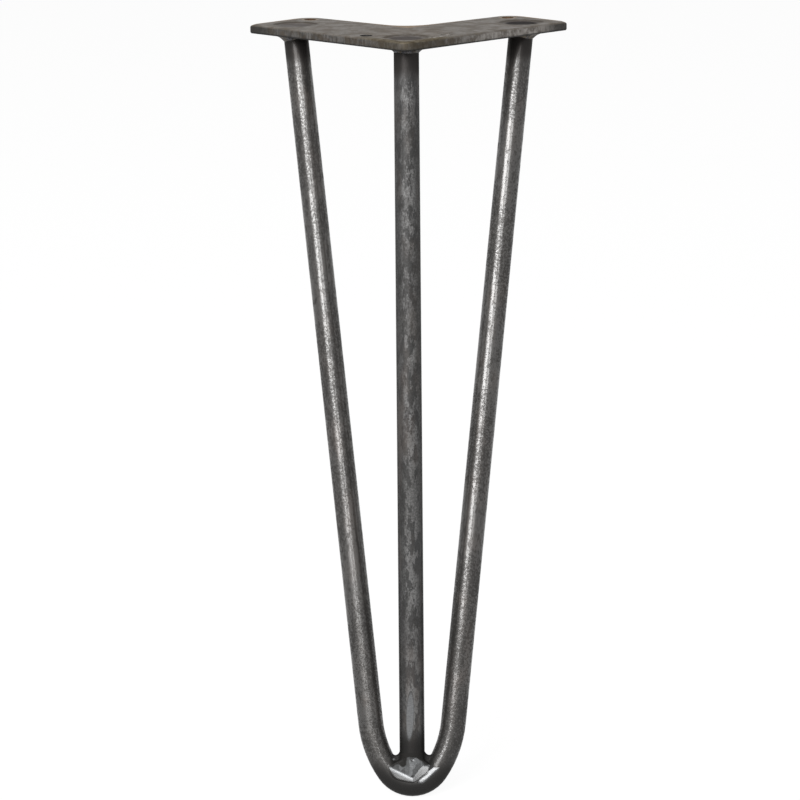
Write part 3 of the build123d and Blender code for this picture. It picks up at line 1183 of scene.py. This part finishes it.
def ground_front(x, h):
    """How far the ground front lies before the bend's plane, at x across and h up in that plane."""
    low = soft_least(h, valley_height(x), VALLEY_SOFT)
    inward = BEND_RADIUS - hypot(x, low - BEND_RADIUS)
    wall = (rod_radius + WALL_PROUD - inward * sin(WALL_TILT)) / cos(WALL_TILT)
    spot = Vector((x, h, 0)) / HEART_WAVE_SIZE
    waves = HEART_WAVES * (noise.noise(spot) + 0.5 * noise.noise(2 * spot))
    waves *= smooth_step(h - low, 0, HEART_WAVE_FADE)
    beyond = x - min(WALL_END_X + h * WALL_END_RISE, WALL_END_MOST)
    groove = GROOVE_DEPTH * (1 - smooth_step(abs(beyond), 0, GROOVE_WIDTH))
    release = RELEASE * smooth_step(beyond, 0, 2 * GROOVE_WIDTH)
    out_of_heart = hypot((x - HEART_CENTRE.x) / HEART_HALF.x, (h - HEART_CENTRE.y) / HEART_HALF.y)
    release += RELEASE * smooth_step(out_of_heart, *HEART_EDGE) * smooth_step(h - low, *HEART_EDGE_ABOVE)
    return wall + HEART_RISE * (h - low) + waves - groove + release


print("valley of the dish at", VALLEY_LOW)

# %% [markdown]
# A second, narrow touch of the grinder lies beside the dish. It follows the bar along its middle line and leans a
# little to the left, so it takes the light in a stripe of its own. It stands a hair proud of the bar's solid.

# %% Foot weld: second touch
TOUCH_X = 3.1 * MM
TOUCH_RISE = 1.085
TOUCH_HALF = 1.05 * MM
TOUCH_TILT = 0.2
TOUCH_ROUND = 0.03 / MM
TOUCH_PROUD = 0.16 * MM
TOUCH_LOW = 0.6 * MM
TOUCH_LOW_FADE = MM
TOUCH_TOP = 9.5 * MM
TOUCH_TOP_FADE = 3 * MM
TOUCH_FRONT = 4.8 * MM
TOUCH_FALL = 0.5
TOUCH_FALL_ROUND = 0.6 / MM
TOUCH_END_DROP = 0.5 * MM
touch_across = Vector((1, -TOUCH_RISE)).normalized()


def touch_front(x, h):
    """How far the touch lies before the bend's plane; beside it and beyond its ends it falls away."""
    across = (x - TOUCH_X - h * TOUCH_RISE) * touch_across.x
    middle = Vector((x, h)) - touch_across * across
    off = hypot(middle.x, middle.y - BEND_RADIUS) - BEND_RADIUS
    below = 1 - smooth_step(h, TOUCH_LOW - TOUCH_LOW_FADE, TOUCH_LOW)
    ends = smooth_step(h, TOUCH_TOP - TOUCH_TOP_FADE, TOUCH_TOP) + below
    outside = max(abs(across) - TOUCH_HALF, 0)
    fall = TOUCH_FALL * outside + TOUCH_FALL_ROUND * outside**2 + TOUCH_END_DROP * ends
    lean = TOUCH_TILT * across - TOUCH_ROUND * across**2
    return sqrt(max(rod_radius**2 - off**2, 0)) + lean + TOUCH_PROUD - fall


print("touch is", 2 * TOUCH_HALF, "wide")

# %% [markdown]
# How bare the steel is goes onto the points, for the rod finish to read: most along the edge of the V, in facets
# on the heart, and none where nothing was ground. A painted mask would need a picture, and the points are fine
# enough to hold it.

# %% Foot weld: bare steel
WALL_BARE = 0.2
LEFT_EDGE_BARE = 0.95
RIGHT_EDGE_BARE = 0.12
EDGE_BAND = 2.2 * MM
HEART_BARE = 0.55
FACET_BARE = 0.7
FACET_SIZE = 2.0 * MM
FACET_SQUASH = 0.7
FACET_SPREAD = 5
TOUCH_BARE = 0.4
PRESS_SOFT = 0.16 * MM
WALL_TO_HEART = (-0.3 * MM, 0.1 * MM)
DISH_FADE = (-0.02 * MM, 1.5 * PRESS_SOFT)
TOUCH_FADE = (-0.03 * MM, 0.08 * MM)


def ground_share(x, h, q, pressed, touched):
    """How bare a point is, at x across, h up and q before the bend's plane."""
    below = valley_height(x) - h
    edge = LEFT_EDGE_BARE if x < VALLEY_X else RIGHT_EDGE_BARE
    wall = WALL_BARE + edge * (1 - smooth_step(below, 0, EDGE_BAND))
    facet = noise.voronoi(Vector((x, FACET_SQUASH * h, 0)) / FACET_SIZE)[1][0]
    heart = HEART_BARE + FACET_BARE * noise.noise(facet * FACET_SPREAD)
    dish = heart + (wall - heart) * smooth_step(below, *WALL_TO_HEART)
    dish *= smooth_step(q - pressed, *DISH_FADE)
    return max(dish, TOUCH_BARE * smooth_step(touched - q, *TOUCH_FADE))


print("wall bare by", WALL_BARE)

# %% [markdown]
# The points of the lump's front are now pressed back to the dish or drawn out to the touch, and two small drops of
# weld are raised. Away from the joint the points sink under the rods, so that the lump runs out into them softly.

# %% Foot weld: grind the lump
GRIND_FROM = 2 * MM
SOOT_RANGE = (9 * MM, 12.5 * MM)
DROPS = (
    {"x": 1.4 * MM, "h": 11.0 * MM, "half_x": 1.8 * MM, "half_h": 1.3 * MM, "rise": 0.5 * MM},
    {"x": -8.8 * MM, "h": 11.6 * MM, "half_x": 0.8 * MM, "half_h": 0.8 * MM, "rise": 0.2 * MM},
)
DROP_BARE = 0.8
DROP_BARE_EDGE = (0.4, 0.9)
BLEND_PROUD = 0.1 * MM
BLEND_SINK = 0.5 * MM
SINK_EDGE = (0.7, 1.2)
SINK_MIDDLE = 8 * MM
SINK_ACROSS = 14 * MM
SINK_BELOW = 8 * MM
SINK_ABOVE = 10 * MM

bare = joint.verts.layers.float.new("bare")
sooty = joint.verts.layers.float.new("sooty")
for vert in joint.verts:
    offset = vert.co - bend_middle
    x, h, q = offset.x, offset.dot(bend_up), offset.dot(bend_front)
    vert[sooty] = 1 - smooth_step(abs(x), *SOOT_RANGE)
    if q > GRIND_FROM:
        pressed, touched = ground_front(x, h), touch_front(x, h) if q > TOUCH_FRONT else 0
        vert[bare] = ground_share(x, h, q, pressed, touched)
        front = -soft_least(-soft_least(q, pressed, PRESS_SOFT), -touched, PRESS_SOFT)
        for drop in DROPS:
            away = hypot((x - drop["x"]) / drop["half_x"], (h - drop["h"]) / drop["half_h"])
            front += drop["rise"] * (1 - smooth_step(away, 0, 1))
            vert[bare] = max(vert[bare], DROP_BARE * (1 - smooth_step(away, *DROP_BARE_EDGE)))
        vert.co += bend_front * (front - q)
joint.normal_update()
for vert in joint.verts:
    offset = vert.co - bend_middle
    above = offset.dot(middle_up) - SINK_MIDDLE
    far = hypot(offset.x / SINK_ACROSS, above / (SINK_BELOW if above < 0 else SINK_ABOVE))
    vert.co += vert.normal * (BLEND_PROUD - BLEND_SINK * smooth_step(far, *SINK_EDGE))
foot = new_object("foot_blend", joint, bent_scale)
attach(foot, "root")
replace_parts(foot, "foot_weld")
print("foot blend faces", len(foot.data.polygons))
